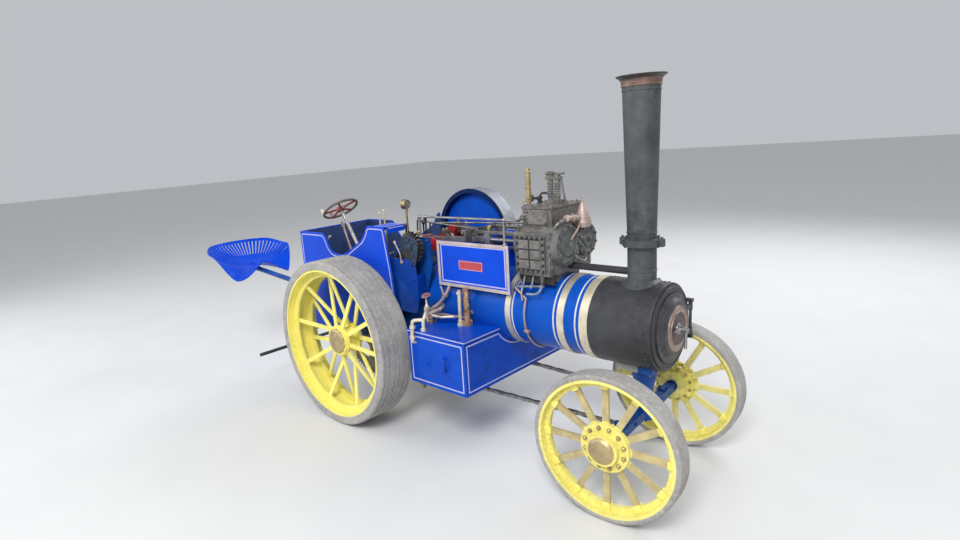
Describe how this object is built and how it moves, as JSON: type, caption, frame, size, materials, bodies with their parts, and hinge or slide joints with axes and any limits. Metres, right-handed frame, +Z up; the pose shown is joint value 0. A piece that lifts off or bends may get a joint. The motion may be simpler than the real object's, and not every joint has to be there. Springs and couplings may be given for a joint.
{
  "type": "steam traction engine",
  "caption": "Miniature coal-fired road engine with a compound cylinder block over the boiler, spoked wheels, chain steering and a towed pan seat.",
  "frame": {"origin": "on the ground, at the middle of the overall length and width", "axes": "+X forward to the chimney, +Y to the engine's left, +Z up"},
  "size_m": [2.5221, 0.77, 1.207],
  "materials": {
    "paint_blue": "gloss enamel",
    "paint_black": "satin heat-proof black",
    "paint_yellow": "gloss yellow enamel",
    "paint_red": "gloss red enamel",
    "brass": "polished",
    "copper": "tarnished copper",
    "steel": "bright machined",
    "cylinder_grey": "painted casting",
    "cap_brown": "heat-browned",
    "tyre_rubber": "worn grey rubber with grooves round it"
  },
  "bodies": {
    "engine": {"boiler_barrel": "paint_blue", "boiler_bands": "brass", "firebox": "paint_blue", "backhead": "paint_blue", "ashpan": "paint_black", "hornplates": "paint_blue", "smokebox": "paint_black", "chimney_base": "paint_black", "chimney_barrel": "paint_black", "chimney_cap": "cap_brown", "cylinder_block": "cylinder_grey", "cylinder_covers": "cylinder_grey", "safety_valves": "steel", "whistle": "brass", "lubricator": "copper", "exhaust_pipe": "paint_black", "crankshaft": "paint_red", "connecting_rods": "steel", "slide_bars": "steel", "valve_gear": "steel", "crank_bearings": "brass", "gear_shafts": "paint_red", "rear_axle": "paint_red", "perch_bracket": "paint_blue", "tender": "paint_blue", "gear_cover": "paint_blue", "drawbar": "paint_black", "nameboard": "paint_blue", "handrail": "steel", "belly_tank": "paint_blue", "tank_covers": "paint_blue", "feed_pipes": "copper", "backhead_fittings": "brass", "pressure_gauge": "brass", "steering_brackets": "paint_black", "seat": "paint_blue", "seat_arm": "paint_blue", "footrest": "paint_black"},
    "rear_wheel_right": {"rear_wheel_right": "paint_yellow", "rear_tyre_right": "tyre_rubber", "rear_cap_right": "brass"},
    "rear_wheel_left": {"rear_wheel_left": "paint_yellow", "rear_tyre_left": "tyre_rubber", "rear_cap_left": "brass"},
    "front_axle": {"front_axle": "paint_blue"},
    "front_wheel_right": {"front_wheel_right": "paint_yellow", "front_tyre_right": "tyre_rubber", "front_cap_right": "brass"},
    "front_wheel_left": {"front_wheel_left": "paint_yellow", "front_tyre_left": "tyre_rubber", "front_cap_left": "brass"},
    "flywheel": {"flywheel": "paint_blue"},
    "smokebox_door": {"smokebox_door": "paint_black", "door_handles": "steel"},
    "firehole_door": {"firehole_door": "paint_black"},
    "steering_wheel": {"steering_wheel": "paint_red", "steering_shaft": "steel"},
    "chain_roller": {"chain_roller": "paint_black"},
    "chain_right": {"chain_right": "steel"},
    "chain_left": {"chain_left": "steel"}
  },
  "joints": [
    {"name": "rear_wheel_right_roll", "type": "hinge", "parent": "engine", "child": "rear_wheel_right", "pos_m": [-0.08435, -0.3115, 0.33], "axis": [0, 1, 0], "continuous": true},
    {"name": "rear_wheel_left_roll", "type": "hinge", "parent": "engine", "child": "rear_wheel_left", "pos_m": [-0.08435, 0.3115, 0.33], "axis": [0, 1, 0], "continuous": true},
    {"name": "steer", "type": "hinge", "parent": "engine", "child": "front_axle", "pos_m": [1.03065, 0, 0.214], "axis": [0, 0, 1], "range_deg": [-23.3, 16.7]},
    {"name": "front_wheel_right_roll", "type": "hinge", "parent": "front_axle", "child": "front_wheel_right", "pos_m": [1.0457, -0.26107, 0.214], "axis": [-0.0576, 0.9983, 0], "continuous": true},
    {"name": "front_wheel_left_roll", "type": "hinge", "parent": "front_axle", "child": "front_wheel_left", "pos_m": [1.0156, 0.26107, 0.214], "axis": [-0.0576, 0.9983, 0], "continuous": true},
    {"name": "flywheel_turn", "type": "hinge", "parent": "engine", "child": "flywheel", "pos_m": [0.21765, 0.198, 0.7], "axis": [0, 1, 0], "continuous": true},
    {"name": "smokebox_door_swing", "type": "hinge", "parent": "engine", "child": "smokebox_door", "pos_m": [1.11995, 0.116, 0.495], "axis": [0, 0, 1], "range_deg": [0, 100]},
    {"name": "firehole_door_swing", "type": "hinge", "parent": "engine", "child": "firehole_door", "pos_m": [-0.05365, 0.068, 0.42], "axis": [0, 0, 1], "range_deg": [-100, 0]},
    {"name": "steering_wheel_turn", "type": "hinge", "parent": "engine", "child": "steering_wheel", "pos_m": [-0.18635, -0.181, 0.836], "axis": [-0.5287, 0, 0.8488], "range_deg": [-663.72, 476.28]},
    {"name": "chain_roller_turn", "type": "hinge", "parent": "engine", "child": "chain_roller", "pos_m": [0.24965, 0, 0.206], "axis": [0, 1, 0], "range_deg": [-95.87, 133.36]},
    {"name": "chain_right_pull", "type": "slide", "parent": "engine", "child": "chain_right", "axis": [0.9993, 0, 0.0362], "range_m": [-0.05, 0.036]},
    {"name": "chain_left_pull", "type": "slide", "parent": "engine", "child": "chain_left", "axis": [0.9998, 0, -0.0207], "range_m": [-0.036, 0.05]}
  ],
  "couplings": [
    {"joint": "chain_right_pull", "follows": "steer", "m_per_rad": 0.121},
    {"joint": "chain_left_pull", "follows": "steer", "m_per_rad": -0.121},
    {"joint": "chain_roller_turn", "follows": "steer", "ratio": -5.6808},
    {"joint": "steering_wheel_turn", "follows": "steer", "ratio": 28.4}
  ]
}
